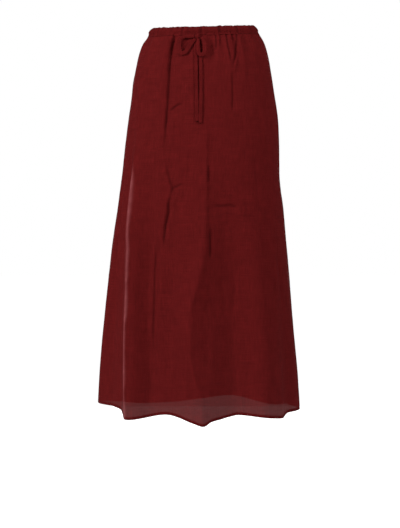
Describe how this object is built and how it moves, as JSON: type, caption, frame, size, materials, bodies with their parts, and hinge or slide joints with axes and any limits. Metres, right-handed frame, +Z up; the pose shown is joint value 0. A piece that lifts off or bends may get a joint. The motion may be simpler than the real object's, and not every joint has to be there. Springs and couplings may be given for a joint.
{
  "type": "maxi skirt",
  "caption": "Long A-line linen skirt with a gathered waist casing, a drawstring tied in a small bow and a narrow turned hem, hollow and hanging in its worn form.",
  "frame": {"origin": "the middle of the waist, halfway up the casing, where the wearer holds the skirt", "axes": "+Z up along the wearer, -Y towards the front, where the bow is, +X to the right as the front is seen"},
  "size_m": [0.4426, 0.369, 0.8652],
  "materials": {
    "linen": "washed plain-weave linen, deep wine red, matt",
    "tie_linen": "narrow tie of the same linen, matt"
  },
  "bodies": {
    "root": {"skirt_front": "linen", "skirt_back": "linen", "waist_casing_front": "linen", "waist_casing_back": "linen", "drawstring_knot": "tie_linen", "drawstring_tail_left": "tie_linen", "drawstring_tail_right": "tie_linen", "drawstring_loop_left": "tie_linen", "drawstring_loop_right": "tie_linen"}
  },
  "joints": []
}
